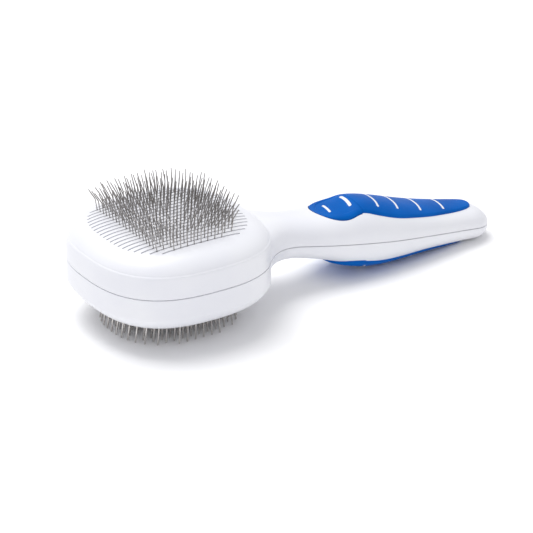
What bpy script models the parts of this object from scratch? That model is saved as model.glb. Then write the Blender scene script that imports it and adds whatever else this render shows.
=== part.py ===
"""Two-sided self-cleaning wire-pin brush for grooming pets.

A hollow two-part shell holds two pin frames, one under each face. Each frame
slides inwards when the paddle button on its side of the handle is pressed, so
the pins draw back through the slits and let go of the hair. Metres, +Z up,
+X from the head to the tail. The brush rests on its coarse pins and its tail.
"""
import math

import bmesh
import bpy
import numpy as np
from mathutils import Matrix

# Whole brush
LENGTH = 0.235
PLANE_Z = 0.032            # height of the head's parting plane above the resting plane
WALL = 0.0022
GAP = 0.0003               # between pieces that touch or nearly touch
WELD = 0.000004            # points this near are one point

# Head: a superellipse puck, half-length along X, half-width along Y
HEAD_A = 0.045
HEAD_B = 0.0465
HEAD_POWER = 2.6
HEAD_X = HEAD_A - LENGTH / 2
HEAD_SIDES = 36
# (share of the outline, height above the parting plane) from the rim to the face
OUTER_PROFILE = ((1.0, 0.0), (1.0, 0.0110), (0.975, 0.0130), (0.92, 0.0154), (0.86, 0.0177), (0.835, 0.0186))
INNER_PROFILE = ((0.951, 0.0), (0.951, 0.0102), (0.925, 0.0118), (0.87, 0.0139), (0.815, 0.0160),
                 (0.79, 0.0164))

# Handle stations measured from the head's centre: along X, half-width, half-height, axis height
STATIONS = np.array([
    (0.030, 0.0140, 0.0105, 0.0000),
    (0.045, 0.0140, 0.0108, -0.0004),
    (0.060, 0.0130, 0.0108, -0.0029),
    (0.075, 0.0144, 0.0113, -0.0060),
    (0.090, 0.0164, 0.0132, -0.0090),
    (0.105, 0.0182, 0.0164, -0.0116),
    (0.120, 0.0187, 0.0158, -0.0142),
    (0.140, 0.0172, 0.0122, -0.0174),
    (0.160, 0.0148, 0.0098, -0.0206),
    (0.178, 0.0130, 0.0090, -0.0234),
    (0.190, 0.0130, 0.0090, -0.0252)])
HANDLE_POWER = 2.4
HANDLE_SIDES = 16
TAIL_START = 0.1755        # the tail's round end begins here
TAIL_END = 0.190
CAVITY_END = 0.187

# Slits and pin rows
FINE_ROWS, FINE_PITCH = 21, 0.0031
COARSE_ROWS, COARSE_PITCH = 15, 0.0042
SLIT_WIDTH = 0.0009
FIELD_A, FIELD_B, FIELD_POWER = 0.0363, 0.0348, 2.8
RING_OUTER, RING_INNER = 0.79, 0.735
RING_LOW, RING_HIGH = 0.0137, 0.0155
BAR_HIGH = 0.0153
FINE_THICK, FINE_BASE, FINE_STEP, FINE_MARGIN = 0.0004, 0.0007, 0.0034, 0.007
COARSE_THICK, COARSE_BASE, COARSE_STEP, COARSE_MARGIN = 0.0005, 0.0013, 0.0037, 0.005
FINE_TIP, FINE_DOME, FINE_FAN = 0.0335, 1.5, 0.85      # tip height, dome per metre, degrees per mm
COARSE_TIP, COARSE_FAN = 0.0320, 0.3

# Lever hung on an axle in the handle, one above the handle's axis and one below
PIVOT_X, PIVOT_LIFT = 0.122, 0.009
HUB_R, AXLE_R, BORE_R = 0.0034, 0.0015, 0.00156
ARM_NEAR, ARM_FAR = 0.001, 0.005           # the side plate's two faces, from the middle plane
NOSE_X, NOSE_LIFT, NOSE_R = 0.0404, 0.0072, 0.0013
PADDLE_FRONT, PADDLE_REAR, PADDLE_HALF = 0.0848, 0.1035, 0.005
RIB_NEAR, RIB_FAR, RIB_TOP = 0.0082, 0.0104, 0.0122

# Soft grips
PAD_OUTLINE = ((0.0825, 0.0), (0.0832, 0.0050), (0.0850, 0.0088), (0.0890, 0.0118), (0.0955, 0.0127),
               (0.1015, 0.0117), (0.1065, 0.0110), (0.1120, 0.0121), (0.1230, 0.0137), (0.1340, 0.0131),
               (0.1450, 0.0117), (0.1560, 0.0095), (0.1660, 0.0074), (0.1720, 0.0050), (0.1748, 0.0))
PAD_SPLIT = 0.1068         # the button pad ends and the fixed grip begins here
PAD_WIDE, PAD_FRONT_END = 0.0126, 0.095    # the front edge is narrower and further forward than these
WINDOW_MIDDLE, WINDOW_LOW, WINDOW_HIGH = 0.090, 0.003, 0.030
GRIP_LOW, GRIP_HIGH = GAP, 0.0012
BUTTON_LOW, BUTTON_HIGH = -0.0012, 0.0012
WINDOW_SIDE, WINDOW_FRONT = 0.0004, 0.0012
BUTTON_SLOTS = ((0.0910, 0.0050), (0.1020, 0.0060))          # place along X, half-length across
GRIP_SLOTS = ((0.1160, 0.0090), (0.1285, 0.0105), (0.1415, 0.0095), (0.1555, 0.0070))
SLOT_HALF_WIDTH = 0.0008

# Screws under the lower grip: place from the head's centre, depth of the head under the axis
SCREWS = (("front_shell_screw", 0.138, 0.0112), ("rear_shell_screw", 0.163, 0.0083))
SCREW_R, SCREW_HEAD_R, SCREW_HEAD_H, SCREW_UP = 0.0011, 0.0026, 0.0016, 0.0055
BOSS_R, UPPER_BOSS_R, PILOT_R, CLEAR_R, SINK_R = 0.0044, 0.0030, 0.0014, 0.0015, 0.0030
OVERRUN = 0.002            # how far a cutter passes the face it opens

MATERIALS = {
    "white_abs": ((0.86, 0.87, 0.90), 0.35, 0.0),
    "blue_soft_grip": ((0.0, 0.095, 0.48), 0.55, 0.0),
    "steel_wire": ((0.62, 0.62, 0.64), 0.3, 1.0),
    "carrier_plastic": ((0.60, 0.61, 0.64), 0.5, 0.0),
}


# ---------------------------------------------------------------- scene helpers
def clear_scene():
    """Empty the scene without closing this file."""
    for item in list(bpy.data.objects):
        bpy.data.objects.remove(item, do_unlink=True)


def make_collection(name):
    collection = bpy.data.collections.new(name)
    bpy.context.scene.collection.children.link(collection)
    return collection


def make_material(name):
    color, roughness, metallic = MATERIALS[name]
    material = bpy.data.materials.get(name) or bpy.data.materials.new(name)
    material.use_nodes = True
    shader = material.node_tree.nodes["Principled BSDF"]
    shader.inputs["Base Color"].default_value = (*color, 1.0)
    shader.inputs["Roughness"].default_value = roughness
    shader.inputs["Metallic"].default_value = metallic
    return material


def add_object(name, mesh, collection):
    item = bpy.data.objects.new(name, mesh)
    collection.objects.link(item)
    return item


def cutter_look(item):
    item.hide_render = True
    item.display_type = "WIRE"
    return item


def boolean(target, tool, operation):
    """Combine target with tool and bake the result into target's mesh."""
    modifier = target.modifiers.new(operation.title(), "BOOLEAN")
    modifier.operation = operation
    modifier.solver = "EXACT"
    modifier.object = tool
    bpy.context.view_layer.update()
    evaluated = target.evaluated_get(bpy.context.evaluated_depsgraph_get())
    mesh = bpy.data.meshes.new_from_object(evaluated)
    target.modifiers.clear()
    shape = bmesh.new()
    shape.from_mesh(mesh)
    bmesh.ops.remove_doubles(shape, verts=shape.verts, dist=WELD)
    bmesh.ops.dissolve_degenerate(shape, edges=shape.edges, dist=WELD)
    shape.to_mesh(mesh)
    shape.free()
    target.data = mesh


def finish(item, material, angle=35.0):
    """Dress a piece in its material and shade its round stretches smooth."""
    item.data.materials.clear()
    item.data.materials.append(make_material(material))
    item.data.shade_smooth()
    item.data.set_sharp_from_angle(angle=math.radians(angle))
    return item


# ---------------------------------------------------------------- shape helpers
def spline(column, x):
    """Natural cubic spline through one column of the stations, at x from the head's centre."""
    knots = STATIONS[:, 0]
    values = STATIONS[:, column]
    steps = np.diff(knots)
    size = len(knots)
    system = np.eye(size)
    right = np.zeros(size)
    for i in range(1, size - 1):
        system[i, i - 1:i + 2] = (steps[i - 1], 2 * (steps[i - 1] + steps[i]), steps[i])
        right[i] = 6 * ((values[i + 1] - values[i]) / steps[i] - (values[i] - values[i - 1]) / steps[i - 1])
    bend = np.linalg.solve(system, right)
    x = np.clip(x, knots[0], knots[-1])
    i = np.clip(np.searchsorted(knots, x) - 1, 0, size - 2)
    left, back, step = x - knots[i], knots[i + 1] - x, steps[i]
    cubic = (bend[i] * back ** 3 + bend[i + 1] * left ** 3) / (6 * step)
    start = (values[i] / step - bend[i] * step / 6) * back
    return cubic + start + (values[i + 1] / step - bend[i + 1] * step / 6) * left


def axis_z(x):
    """Height of the handle's axis over the resting plane, at x from the head's centre."""
    return PLANE_Z + (float(spline(3, x)) if x > STATIONS[0, 0] else 0.0)


def half_height(x):
    return float(spline(2, x))


def superellipse(half_a, half_b, power, sides):
    """Closed outline |x/a|^p + |y/b|^p = 1 as sides points, counter-clockwise."""
    turn = np.linspace(0, 2 * math.pi, sides, endpoint=False) + math.pi / sides
    cos, sin = np.cos(turn), np.sin(turn)
    return np.stack([half_a * np.sign(cos) * np.abs(cos) ** (2 / power),
                     half_b * np.sign(sin) * np.abs(sin) ** (2 / power)], axis=1)


def chord(half_a, half_b, power, y):
    """Half-length along X of a superellipse at height y."""
    return half_a * max(0.0, 1 - abs(y / half_b) ** power) ** (1 / power)


def loft(name, rings, collection):
    """Skin a stack of equal rings and close both ends with one face each."""
    shape = bmesh.new()
    rows = [[shape.verts.new(point) for point in ring] for ring in rings]
    count = len(rows[0])
    for low, high in zip(rows, rows[1:]):
        for i in range(count):
            j = (i + 1) % count
            shape.faces.new((low[i], low[j], high[j]))
            shape.faces.new((low[i], high[j], high[i]))
    shape.faces.new(reversed(rows[0]))
    shape.faces.new(rows[-1])
    bmesh.ops.recalc_face_normals(shape, faces=shape.faces)
    mesh = bpy.data.meshes.new(name)
    shape.to_mesh(mesh)
    shape.free()
    return add_object(name, mesh, collection)


def head_solid(name, profile, collection):
    """Superellipse puck, the same above and below the parting plane."""
    levels = [(share, -z) for share, z in reversed(profile)] + [level for level in profile[1:]]
    rings = []
    for share, z in levels:
        outline = superellipse(HEAD_A * share, HEAD_B * share, HEAD_POWER, HEAD_SIDES)
        rings.append([(HEAD_X + x, y, PLANE_Z + z) for x, y in outline])
    return loft(name, rings, collection)


def handle_solid(name, offset, end, collection):
    """Handle skinned through its sections, grown or shrunk by offset, with a round tail."""
    start = STATIONS[0, 0]
    tail = TAIL_START + (end - TAIL_START) * np.sin(np.radians((30, 60, 82)))
    xs = [*np.linspace(start, TAIL_START, 14), *tail]
    rings = []
    for x in xs:
        along = max(0.0, (x - TAIL_START) / (end - TAIL_START))
        shrink = math.sqrt(max(0.0, 1 - along ** 2))
        half_w = (float(spline(1, x)) + offset) * shrink
        half_h = (half_height(x) + offset) * shrink
        outline = superellipse(half_w, half_h, HANDLE_POWER, HANDLE_SIDES)
        rings.append([(HEAD_X + x, y, axis_z(x) + z) for y, z in outline])
    return loft(name, rings, collection)


def plate(name, outline, low, high, plane, collection):
    """Flat outline drawn as a filled 2D curve and given its thickness, then made a mesh.

    plane "XZ" stands the outline upright between y=low and y=high;
    plane "XY" lays it flat between z=low and z=high.
    """
    curve = bpy.data.curves.new(name, "CURVE")
    curve.dimensions = "2D"
    curve.fill_mode = "BOTH"
    curve.extrude = (high - low) / 2
    line = curve.splines.new("POLY")
    line.points.add(len(outline) - 1)
    for point, (u, v) in zip(line.points, outline):
        point.co = (u, v, 0.0, 1.0)
    line.use_cyclic_u = True
    item = add_object(name, curve, collection)
    middle = (low + high) / 2
    if plane == "XZ":
        item.rotation_euler = (math.pi / 2, 0, 0)
        item.location = (0, middle, 0)
    else:
        item.location = (0, 0, middle)
    return curve_to_mesh(item)


def curve_to_mesh(item):
    """Replace a curve object by a welded mesh object in the same place."""
    bpy.context.view_layer.update()
    evaluated = item.evaluated_get(bpy.context.evaluated_depsgraph_get())
    mesh = bpy.data.meshes.new_from_object(evaluated)
    mesh.transform(item.matrix_world)
    name, collection, curve = item.name, item.users_collection[0], item.data
    bpy.data.objects.remove(item)
    bpy.data.curves.remove(curve)
    shape = bmesh.new()
    shape.from_mesh(mesh)
    bmesh.ops.remove_doubles(shape, verts=shape.verts, dist=1e-6)
    bmesh.ops.recalc_face_normals(shape, faces=shape.faces)
    shape.to_mesh(mesh)
    shape.free()
    return add_object(name, mesh, collection)


def cylinder(name, radius, start, end, collection, sides=12):
    """Cylinder between two points that share all but one coordinate."""
    shape = bmesh.new()
    run = np.subtract(end, start)
    bmesh.ops.create_cone(shape, cap_ends=True, segments=sides, radius1=radius, radius2=radius,
                          depth=float(np.linalg.norm(run)))
    mesh = bpy.data.meshes.new(name)
    if abs(run[1]) > 0:
        bmesh.ops.rotate(shape, verts=shape.verts, matrix=Matrix.Rotation(math.pi / 2, 3, "X"))
    bmesh.ops.translate(shape, verts=shape.verts, vec=tuple(np.add(start, end) / 2))
    bmesh.ops.recalc_face_normals(shape, faces=shape.faces)
    shape.to_mesh(mesh)
    shape.free()
    return add_object(name, mesh, collection)


def leaf(front, rear, grow_front=0.0, grow_side=0.0):
    """Outline of the grip pad between two places along X, seen from above and grown at front and sides."""
    line = [(x, y) for x, y in PAD_OUTLINE if front <= x <= rear]
    places, halves = zip(*PAD_OUTLINE)
    if line[0][1] > 0:
        line.insert(0, (front, float(np.interp(front, places, halves))))
    if line[-1][1] > 0:
        line.append((rear, float(np.interp(rear, places, halves))))
    half = [(HEAD_X + x - (grow_front if y < PAD_WIDE and x < PAD_FRONT_END else 0.0),
             y + (grow_side if y > 0 else 0.0)) for x, y in line]
    return half + [(x, -y) for x, y in reversed(half) if y > 0]


def oval(x, half_length, sides=12):
    """Cross-wise slot in a grip pad."""
    turn = np.linspace(0, 2 * math.pi, sides, endpoint=False)
    return [(HEAD_X + x + SLOT_HALF_WIDTH * math.cos(t), half_length * math.sin(t)) for t in turn]


# ---------------------------------------------------------------- shell halves
def parting_prism(name, side, collection):
    """Everything above (side +1) or below (side -1) the bent parting surface."""
    xs = [-0.06, 0.030, 0.045, *np.arange(0.054, 0.210, 0.012)]
    line = [(HEAD_X + x, axis_z(x) + side * GAP / 2) for x in xs]
    far = PLANE_Z + side * 0.08
    outline = line + [(line[-1][0], far), (line[0][0], far)]
    return plate(name, outline, -0.08, 0.08, "XZ", collection)


def slit_row(index, rows, pitch):
    return (index - (rows - 1) / 2) * pitch


def cut_slits(shell, side, rows, pitch, shorten, cutters):
    """Cut one slit per pin row, along X, through the face."""
    low, high = sorted((PLANE_Z + side * 0.0145, PLANE_Z + side * 0.021))
    for index in range(rows):
        y = slit_row(index, rows, pitch)
        reach = chord(FIELD_A, FIELD_B, FIELD_POWER, y) - shorten
        outline = [(HEAD_X + u, y + v) for u, v in ((-reach, -SLIT_WIDTH / 2), (reach, -SLIT_WIDTH / 2),
                                                    (reach, SLIT_WIDTH / 2), (-reach, SLIT_WIDTH / 2))]
        tool = cutter_look(plate(f"{shell.name}_slit_{index + 1:02d}", outline, low, high, "XY", cutters))
        boolean(shell, tool, "DIFFERENCE")


def add_boss(shell, side, x, head_depth, cutters):
    """Screw boss between the shell's wall and the parting surface."""
    middle = axis_z(x)
    place = HEAD_X + x
    radius = BOSS_R if side < 0 else UPPER_BOSS_R
    ends = (x - radius, x + radius)
    wall = min(side * (axis_z(end) - middle) + half_height(end) for end in ends) - WALL / 3
    boss = cylinder(f"{shell.name}_boss", radius, (place, 0, middle + side * GAP),
                    (place, 0, middle + side * wall), cutters)
    boolean(shell, cutter_look(boss), "UNION")
    if side > 0:
        holes = ((PILOT_R, -OVERRUN / 2, SCREW_UP + OVERRUN),)
    else:
        holes = ((CLEAR_R, -OVERRUN / 2, head_depth),
                 (SINK_R, head_depth - SCREW_HEAD_H - GAP, half_height(x) + OVERRUN))
    for radius, low, high in holes:
        hole = cylinder(f"{shell.name}_hole", radius, (place, 0, middle + side * low),
                        (place, 0, middle + side * high), cutters)
        boolean(shell, cutter_look(hole), "DIFFERENCE")


def add_axle_ribs(shell, side, cutters):
    """Two ribs that hold the ends of this side's lever axle."""
    x, middle = HEAD_X + PIVOT_X, axis_z(PIVOT_X)
    centre = middle + side * PIVOT_LIFT
    outline = [(x - 0.0045, centre - side * 0.0032), (x + 0.0045, centre - side * 0.0032),
               (x + 0.0045, middle + side * RIB_TOP), (x - 0.0045, middle + side * RIB_TOP)]
    for hand in (-1, 1):
        low, high = sorted((hand * RIB_NEAR, hand * RIB_FAR))
        rib = cutter_look(plate(f"{shell.name}_rib", outline, low, high, "XZ", cutters))
        bore = cylinder(f"{shell.name}_bore", AXLE_R + GAP, (x, low - OVERRUN / 2, centre),
                        (x, high + OVERRUN / 2, centre), cutters)
        boolean(rib, cutter_look(bore), "DIFFERENCE")
        boolean(shell, rib, "UNION")


def build_shells(parts, cutters):
    outer = head_solid("outer_form", OUTER_PROFILE, cutters)
    boolean(outer, cutter_look(handle_solid("outer_handle", 0.0, TAIL_END, cutters)), "UNION")
    inner = head_solid("inner_form", INNER_PROFILE, cutters)
    boolean(inner, cutter_look(handle_solid("inner_handle", -WALL, CAVITY_END, cutters)), "UNION")
    boolean(outer, cutter_look(inner), "DIFFERENCE")
    shells = []
    for name, side in (("upper_shell", 1), ("lower_shell", -1)):
        shell = add_object(name, outer.data.copy(), parts)
        boolean(shell, cutter_look(parting_prism(f"{name}_half", side, cutters)), "INTERSECT")
        span = sorted(axis_z(WINDOW_MIDDLE) + side * lift for lift in (WINDOW_LOW, WINDOW_HIGH))
        outline = leaf(0.0, PAD_SPLIT, WINDOW_FRONT, WINDOW_SIDE)
        window = plate(f"{name}_window", outline, *span, "XY", cutters)
        boolean(shell, cutter_look(window), "DIFFERENCE")
        add_axle_ribs(shell, side, cutters)
        for _, x, depth in SCREWS:
            add_boss(shell, side, x, depth, cutters)
        if side > 0:
            cut_slits(shell, side, FINE_ROWS, FINE_PITCH, 0.0, cutters)
        else:
            cut_slits(shell, side, COARSE_ROWS, COARSE_PITCH, 0.0015, cutters)
        shells.append(finish(shell, "white_abs"))
    bpy.data.objects.remove(outer)
    return shells


# ---------------------------------------------------------------- soft grips
def skin_piece(name, outline, low, high, side, slots, parts, cutters):
    """Pad that follows the handle's skin between two offsets, with cross-wise slots."""
    pad = handle_solid(name, high, TAIL_END + high, parts)
    boolean(pad, cutter_look(handle_solid(f"{name}_core", low, TAIL_END + low, cutters)), "DIFFERENCE")
    boolean(pad, cutter_look(plate(f"{name}_edge", outline, -0.02, 0.08, "XY", cutters)), "INTERSECT")
    boolean(pad, cutter_look(parting_prism(f"{name}_half", side, cutters)), "INTERSECT")
    for x, half_length in slots:
        slot = plate(f"{name}_slot", oval(x, half_length), -0.02, 0.08, "XY", cutters)
        boolean(pad, cutter_look(slot), "DIFFERENCE")
    return pad


def rest_land(pad, cutters):
    """Flat land where the tail's grip meets the resting plane."""
    outline = [(0.0, -0.03), (0.13, -0.03), (0.13, 0.03), (0.0, 0.03)]
    boolean(pad, cutter_look(plate("land_cut", outline, -0.02, 0.0, "XY", cutters)), "DIFFERENCE")


def build_grips(parts, cutters):
    for name, side in (("upper", 1), ("lower", -1)):
        button = skin_piece(f"{name}_button_pad", leaf(0.0, PAD_SPLIT - GAP), BUTTON_LOW, BUTTON_HIGH,
                            side, BUTTON_SLOTS, parts, cutters)
        grip = skin_piece(f"{name}_grip", leaf(PAD_SPLIT + GAP, TAIL_END), GRIP_LOW, GRIP_HIGH,
                          side, GRIP_SLOTS, parts, cutters)
        if side < 0:
            rest_land(grip, cutters)
        finish(button, "blue_soft_grip")
        finish(grip, "blue_soft_grip")


# ---------------------------------------------------------------- levers
def lever_side(side):
    """Outline of a lever's side plate: nose, arm, web under the paddle, and hub."""
    def at(x, lift):
        return HEAD_X + x, axis_z(x) + side * lift

    under = [(x, half_height(x) - 0.0027) for x in np.linspace(0.0862, 0.1020, 4)]
    top = [(0.0440, 0.0076), (0.0520, 0.0069), (0.0620, 0.0070), (0.0735, 0.0074), (0.0835, 0.0080),
           *under, (0.1100, 0.0126)]
    bottom = [(0.1130, 0.0060), (0.0920, 0.0052), (0.0735, 0.0050), (0.0620, 0.0048), (0.0520, 0.0046),
              (0.0440, 0.0052)]
    turns = np.radians((170, 130, 90, 50, 10))
    nose = [(NOSE_X - NOSE_R * math.sin(t), NOSE_LIFT + NOSE_R * math.cos(t)) for t in turns]
    hub = [(PIVOT_X + HUB_R * math.sin(t), PIVOT_LIFT + HUB_R * math.cos(t))
           for t in np.radians((-20, 20, 60, 100, 140, 180, 215))]
    return [at(*p) for p in [*nose, *top, *hub, *bottom]]


def build_lever(name, side, parts, cutters):
    near, far = sorted((side * ARM_NEAR, side * ARM_FAR))
    lever = plate(name, lever_side(side), near, far, "XZ", parts)
    xs = np.linspace(PADDLE_FRONT, PADDLE_REAR, 5)
    upper = [(HEAD_X + x, axis_z(x) + side * (half_height(x) - 0.0020)) for x in xs]
    lower = [(HEAD_X + x, axis_z(x) + side * (half_height(x) - 0.0036)) for x in xs]
    paddle = plate(f"{name}_paddle", upper + lower[::-1], -PADDLE_HALF, PADDLE_HALF, "XZ", cutters)
    boolean(lever, cutter_look(paddle), "UNION")
    x, z = HEAD_X + PIVOT_X, axis_z(PIVOT_X) + side * PIVOT_LIFT
    bore = cylinder(f"{name}_bore", BORE_R, (x, near - 0.001, z), (x, far + 0.001, z), cutters)
    boolean(lever, cutter_look(bore), "DIFFERENCE")
    finish(lever, "carrier_plastic")
    axle = cylinder(name.replace("lever", "axle"), AXLE_R, (x, -RIB_FAR, z), (x, RIB_FAR, z), parts)
    finish(axle, "steel_wire")


def build_spring(name, side, parts):
    """Torsion coil round the axle beside the hub."""
    radius, wire, turns, per_turn = 0.0026, 0.00035, 4.5, 10
    x, z = HEAD_X + PIVOT_X, axis_z(PIVOT_X) + side * PIVOT_LIFT
    curve = bpy.data.curves.new(name, "CURVE")
    curve.dimensions = "3D"
    curve.bevel_depth = wire
    curve.bevel_resolution = 0
    curve.use_fill_caps = True
    line = curve.splines.new("POLY")
    count = int(turns * per_turn) + 1
    line.points.add(count - 1)
    for i, point in enumerate(line.points):
        turn = 2 * math.pi * i / per_turn
        along = side * (0.0002 - wire - 0.0060 * i / (count - 1))
        point.co = (x + radius * math.cos(turn), along, z + radius * math.sin(turn), 1.0)
    finish(curve_to_mesh(add_object(name, curve, parts)), "steel_wire", 80.0)


# ---------------------------------------------------------------- pin frames and rows
def build_frame(name, side, parts, cutters):
    """Ring that carries the pin rows, with a fork that the lever's nose moves."""
    rings = []
    for z in (RING_LOW, RING_HIGH):
        rings.append([(HEAD_X + x, y, PLANE_Z + side * z)
                      for x, y in superellipse(HEAD_A * RING_OUTER, HEAD_B * RING_OUTER, HEAD_POWER, HEAD_SIDES)])
    frame = loft(name, rings, parts)
    hollow = []
    for z in (RING_LOW - 0.001, RING_HIGH + 0.001):
        hollow.append([(HEAD_X + x, y, PLANE_Z + side * z)
                       for x, y in superellipse(HEAD_A * RING_INNER, HEAD_B * RING_INNER, HEAD_POWER, HEAD_SIDES)])
    boolean(frame, cutter_look(loft(f"{name}_hollow", hollow, cutters)), "DIFFERENCE")
    fork = [(0.0342, 0.0149), (0.0342, 0.0139), (0.0360, 0.0136), (0.0360, 0.0042), (0.0415, 0.0042),
            (0.0415, 0.0054), (0.0374, 0.0054), (0.0374, 0.0090), (0.0415, 0.0090), (0.0415, 0.0102),
            (0.0374, 0.0102), (0.0374, 0.0149)]
    outline = [(HEAD_X + x, PLANE_Z + side * z) for x, z in fork]
    near, far = sorted((side * (ARM_NEAR - 0.0003), side * (ARM_FAR + 0.0003)))
    boolean(frame, cutter_look(plate(f"{name}_fork", outline, near, far, "XZ", cutters)), "UNION")
    finish(frame, "carrier_plastic")


def comb(side, reach, margin, step, base, height, fan, dome, y):
    """Outline of one pin row: a bar with fanned pins standing on it."""
    pins = max(2, round(2 * (reach - margin) / step) + 1)
    places = np.linspace(-(reach - margin), reach - margin, pins)
    outline = [(-reach, RING_LOW), (-reach, BAR_HIGH)]
    for x in places:
        top = height - dome * (x * x + y * y)
        lean = (top - BAR_HIGH) * math.tan(math.radians(fan * x * 1000))
        outline += [(x - base / 2, BAR_HIGH), (x + lean, top), (x + base / 2, BAR_HIGH)]
    outline += [(reach, BAR_HIGH), (reach, RING_LOW)]
    return [(HEAD_X + x, PLANE_Z + side * z) for x, z in outline]


def build_rows(parts):
    ring = (HEAD_A * RING_INNER, HEAD_B * RING_INNER, HEAD_POWER)
    for index in range(FINE_ROWS):
        y = slit_row(index, FINE_ROWS, FINE_PITCH)
        reach = chord(*ring, y) - 2 * GAP
        outline = comb(1, reach, FINE_MARGIN, FINE_STEP, FINE_BASE, FINE_TIP, FINE_FAN, FINE_DOME, y)
        row = plate(f"fine_pin_row_{index + 1:02d}", outline,
                    y - FINE_THICK / 2, y + FINE_THICK / 2, "XZ", parts)
        finish(row, "steel_wire")
    for index in range(COARSE_ROWS):
        y = slit_row(index, COARSE_ROWS, COARSE_PITCH)
        reach = chord(*ring, y) - 2 * GAP
        outline = comb(-1, reach, COARSE_MARGIN, COARSE_STEP, COARSE_BASE, COARSE_TIP, COARSE_FAN, 0.0, y)
        row = plate(f"coarse_pin_row_{index + 1:02d}", outline,
                    y - COARSE_THICK / 2, y + COARSE_THICK / 2, "XZ", parts)
        finish(row, "steel_wire")


def build_screws(parts, cutters):
    for name, x, depth in SCREWS:
        place, middle = HEAD_X + x, axis_z(x)
        head_top = middle - depth + SCREW_HEAD_H
        screw = cylinder(name, SCREW_HEAD_R, (place, 0, middle - depth), (place, 0, head_top), parts, 12)
        shank = cylinder(f"{name}_shank", SCREW_R, (place, 0, head_top - 0.0005),
                         (place, 0, middle + SCREW_UP), cutters, 12)
        boolean(screw, cutter_look(shank), "UNION")
        finish(screw, "steel_wire")


def main():
    clear_scene()
    parts = make_collection("pet_pin_brush")
    cutters = make_collection("cutters")
    build_shells(parts, cutters)
    build_grips(parts, cutters)
    for side, face, pins in ((1, "upper", "fine"), (-1, "lower", "coarse")):
        build_lever(f"{face}_lever", side, parts, cutters)
        build_spring(f"{face}_torsion_spring", side, parts)
        build_frame(f"{pins}_pin_frame", side, parts, cutters)
    build_rows(parts)
    build_screws(parts, cutters)
    for tool in cutters.objects:
        cutter_look(tool)


main()
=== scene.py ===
"""Looks for a two-sided wire-pin brush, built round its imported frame.

The moulded shells, the soft pads, their white ribs and every pin row are fine surfaces worked out
with numpy. The frames, levers, axles, springs and screws are the frame's own nodes with better
materials. Metres, +Z up, +X from the head to the tail.
"""
import logging
import math
from dataclasses import dataclass
from enum import Enum

import bmesh
import bpy
import numpy as np
from mathutils import Matrix, Vector


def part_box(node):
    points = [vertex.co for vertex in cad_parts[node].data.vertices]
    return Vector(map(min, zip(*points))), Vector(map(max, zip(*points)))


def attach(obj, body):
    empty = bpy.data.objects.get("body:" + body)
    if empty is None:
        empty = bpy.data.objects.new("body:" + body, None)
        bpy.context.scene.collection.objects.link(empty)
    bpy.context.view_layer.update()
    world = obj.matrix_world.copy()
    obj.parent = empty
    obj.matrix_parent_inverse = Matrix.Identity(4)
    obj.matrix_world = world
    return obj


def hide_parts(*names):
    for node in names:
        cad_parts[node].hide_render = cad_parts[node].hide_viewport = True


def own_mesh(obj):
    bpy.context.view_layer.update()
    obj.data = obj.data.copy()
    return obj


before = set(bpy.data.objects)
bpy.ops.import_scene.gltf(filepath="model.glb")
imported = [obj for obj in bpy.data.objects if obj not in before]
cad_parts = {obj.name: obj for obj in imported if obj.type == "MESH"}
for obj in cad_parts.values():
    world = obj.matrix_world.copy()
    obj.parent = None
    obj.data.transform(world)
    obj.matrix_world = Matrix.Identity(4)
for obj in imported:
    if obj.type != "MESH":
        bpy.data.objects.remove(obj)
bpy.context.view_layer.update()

LOG = logging.getLogger("pin_brush")
WELD = 0.000004
MM = 0.001


class Side(Enum):
    """The two faces of the brush, as the sign of Z."""

    UPPER = 1
    LOWER = -1


# ---- numbers and outlines
def smoothstep(low: float, high: float, value: np.ndarray) -> np.ndarray:
    """Ease from 0 at low to 1 at high as 3t^2 - 2t^3.

    Args:
        low: Where the rise starts.
        high: Where the rise ends.
        value: Places to evaluate.

    Returns:
        The eased share at each place.
    """
    t = np.clip((value - low) / (high - low), 0.0, 1.0)
    return t * t * (3.0 - 2.0 * t)


def natural_spline(knots: np.ndarray, values: np.ndarray, x: np.ndarray) -> np.ndarray:
    """Cubic spline through values at knots, with no bending at its two ends.

    Args:
        knots: Rising places.
        values: One value for each knot.
        x: Places to evaluate, held inside the knots.

    Returns:
        The spline's height at each x.
    """
    steps = np.diff(knots)
    count = len(knots)
    system = np.eye(count)
    right = np.zeros(count)
    inner = np.arange(1, count - 1)
    system[inner, inner - 1] = steps[:-1]
    system[inner, inner] = 2.0 * (steps[:-1] + steps[1:])
    system[inner, inner + 1] = steps[1:]
    slopes = np.diff(values) / steps
    right[inner] = 6.0 * np.diff(slopes)
    bend = np.linalg.solve(system, right)
    x = np.clip(x, knots[0], knots[-1])
    i = np.clip(np.searchsorted(knots, x) - 1, 0, count - 2)
    left, back, step = x - knots[i], knots[i + 1] - x, steps[i]
    cubic = (bend[i] * back ** 3 + bend[i + 1] * left ** 3) / (6.0 * step)
    start = (values[i] / step - bend[i] * step / 6.0) * back
    return cubic + start + (values[i + 1] / step - bend[i + 1] * step / 6.0) * left


def superellipse(half_a: float, half_b: float, power: float, sides: int) -> np.ndarray:
    """Closed outline |x/a|^p + |y/b|^p = 1, counter-clockwise, as a (sides, 2) array."""
    turn = np.linspace(0.0, 2.0 * math.pi, sides, endpoint=False)
    cos, sin = np.cos(turn), np.sin(turn)
    return np.stack([half_a * np.sign(cos) * np.abs(cos) ** (2.0 / power),
                     half_b * np.sign(sin) * np.abs(sin) ** (2.0 / power)], axis=-1)


def chord(half_a: float, half_b: float, power: float, y: np.ndarray) -> np.ndarray:
    """Half-length along X of a superellipse at each distance y from its middle."""
    return half_a * np.maximum(0.0, 1.0 - np.abs(y / half_b) ** power) ** (1.0 / power)


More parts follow.
